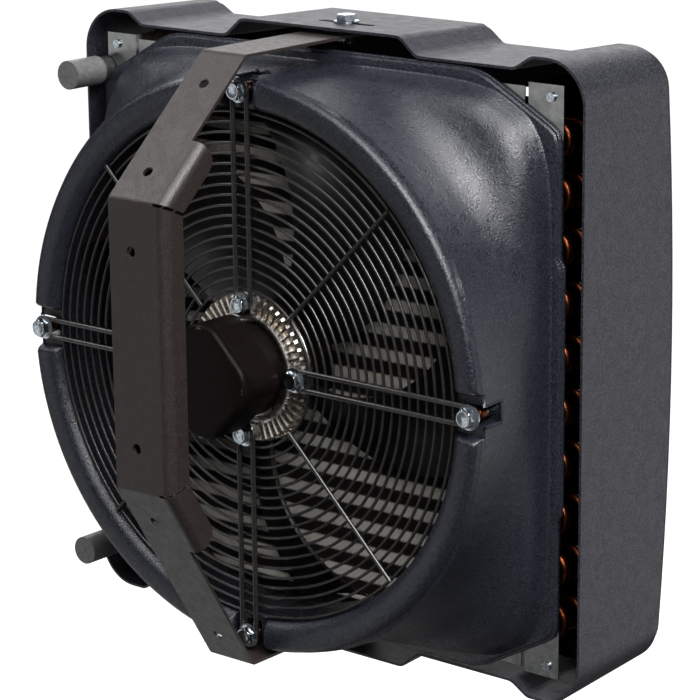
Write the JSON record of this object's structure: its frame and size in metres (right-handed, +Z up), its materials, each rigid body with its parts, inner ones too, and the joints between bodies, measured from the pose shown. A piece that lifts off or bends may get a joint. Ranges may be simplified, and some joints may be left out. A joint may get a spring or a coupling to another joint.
{
  "type": "fan-blown finned-tube heat exchanger on a wall console",
  "caption": "Square finned-tube cooler with an axial fan, wire guard, bowed casing and louvres, hung in a bent swivel console.",
  "frame": {"origin": "middle of the console's two wall holes, on the face that lies against the wall", "axes": "+Z up, +Y from the wall towards the louvres, +X to the right as seen from the wall"},
  "size_m": [0.6044, 0.4143, 0.6236],
  "materials": {
    "casing_paint": "dark blue-grey textured powder coat",
    "bezel_paint": "dark satin moulding",
    "louvre_paint": "dark blue-grey powder coat",
    "shroud_paint": "blue-black hammered gloss",
    "console_paint": "brown-grey fine-textured powder coat",
    "guard_black": "gloss black coated wire",
    "fan_black": "satin black",
    "zinc": "bright zinc plate",
    "galvanised": "galvanised sheet",
    "core_steel": "machined steel",
    "fin_aluminium": "thin pressed fins",
    "cast_aluminium": "as-cast, fettled",
    "copper": "drawn tube, slightly tarnished",
    "header_paint": "dull grey",
    "grey_plastic": "moulded cap",
    "black_plastic": "matte moulding"
  },
  "bodies": {
    "console": {"console_bracket": "console_paint", "upper_pivot_bolt": "zinc", "upper_pivot_spacer": "zinc", "upper_pivot_nut": "zinc", "lower_pivot_bolt": "zinc", "lower_pivot_spacer": "zinc", "lower_pivot_nut": "zinc"},
    "unit": {"casing_shell": "casing_paint", "front_bezel": "bezel_paint", "louvre_rail_left": "bezel_paint", "louvre_rail_right": "bezel_paint", "fin_pack": "fin_aluminium", "coil_tubes": "copper", "return_bends_rear": "copper", "return_bends_front": "copper", "cross_bends": "copper", "end_plate_left": "galvanised", "end_plate_right": "galvanised", "coil_plate_top": "galvanised", "coil_plate_bottom": "galvanised", "inlet_header": "header_paint", "outlet_header": "header_paint", "corner_screws": "zinc", "fan_shroud": "shroud_paint", "shroud_inserts": "copper", "guard_rings": "guard_black", "guard_spokes": "guard_black", "guard_arm_right": "guard_black", "guard_arm_top": "guard_black", "guard_arm_left": "guard_black", "guard_arm_bottom": "guard_black", "guard_bolts": "zinc", "motor_bolts": "zinc", "motor_flange": "cast_aluminium", "stator_core": "core_steel", "stator_windings": "copper", "motor_bearings": "core_steel", "terminal_box": "black_plastic", "terminal_lid": "black_plastic", "lid_screws": "guard_black", "cable_gland": "black_plastic"},
    "rotor": {"motor_shaft": "core_steel", "rotor_can": "fan_black", "impeller_hub": "fan_black", "fan_blade_1": "fan_black", "fan_blade_2": "fan_black", "fan_blade_3": "fan_black", "fan_blade_4": "fan_black", "fan_blade_5": "fan_black"},
    "louvre_1": {"louvre_1": "louvre_paint"},
    "louvre_2": {"louvre_2": "louvre_paint"},
    "louvre_3": {"louvre_3": "louvre_paint"},
    "louvre_4": {"louvre_4": "louvre_paint"},
    "louvre_5": {"louvre_5": "louvre_paint"},
    "louvre_6": {"louvre_6": "louvre_paint"},
    "louvre_7": {"louvre_7": "louvre_paint"},
    "louvre_8": {"louvre_8": "louvre_paint"},
    "louvre_9": {"louvre_9": "louvre_paint"},
    "inlet_cap": {"inlet_cap": "grey_plastic"},
    "outlet_cap": {"outlet_cap": "grey_plastic"}
  },
  "joints": [
    {"name": "console_swivel", "type": "hinge", "parent": "console", "child": "unit", "pos_m": [0, 0.299, -0.0474], "axis": [0, 0, 1], "range_deg": [-25, 25]},
    {"name": "fan_spin", "type": "hinge", "parent": "unit", "child": "rotor", "pos_m": [0, 0.189, -0.0474], "axis": [0, 1, 0], "continuous": true},
    {"name": "louvre_1_tilt", "type": "hinge", "parent": "unit", "child": "louvre_1", "pos_m": [0, 0.37571, 0.1606], "axis": [1, 0, 0], "range_deg": [-70, 70]},
    {"name": "louvre_2_tilt", "type": "hinge", "parent": "unit", "child": "louvre_2", "pos_m": [0, 0.37951, 0.1086], "axis": [1, 0, 0], "range_deg": [-70, 70]},
    {"name": "louvre_3_tilt", "type": "hinge", "parent": "unit", "child": "louvre_3", "pos_m": [0, 0.38223, 0.0566], "axis": [1, 0, 0], "range_deg": [-70, 70]},
    {"name": "louvre_4_tilt", "type": "hinge", "parent": "unit", "child": "louvre_4", "pos_m": [0, 0.38386, 0.0046], "axis": [1, 0, 0], "range_deg": [-70, 70]},
    {"name": "louvre_5_tilt", "type": "hinge", "parent": "unit", "child": "louvre_5", "pos_m": [0, 0.3844, -0.0474], "axis": [1, 0, 0], "range_deg": [-70, 70]},
    {"name": "louvre_6_tilt", "type": "hinge", "parent": "unit", "child": "louvre_6", "pos_m": [0, 0.38386, -0.0994], "axis": [1, 0, 0], "range_deg": [-70, 70]},
    {"name": "louvre_7_tilt", "type": "hinge", "parent": "unit", "child": "louvre_7", "pos_m": [0, 0.38223, -0.1514], "axis": [1, 0, 0], "range_deg": [-70, 70]},
    {"name": "louvre_8_tilt", "type": "hinge", "parent": "unit", "child": "louvre_8", "pos_m": [0, 0.37951, -0.2034], "axis": [1, 0, 0], "range_deg": [-70, 70]},
    {"name": "louvre_9_tilt", "type": "hinge", "parent": "unit", "child": "louvre_9", "pos_m": [0, 0.37571, -0.2554], "axis": [1, 0, 0], "range_deg": [-70, 70]},
    {"name": "inlet_cap_pull", "type": "slide", "parent": "unit", "child": "inlet_cap", "axis": [0, -1, 0], "range_m": [0, 0.06]},
    {"name": "outlet_cap_pull", "type": "slide", "parent": "unit", "child": "outlet_cap", "axis": [0, -1, 0], "range_m": [0, 0.06]}
  ]
}
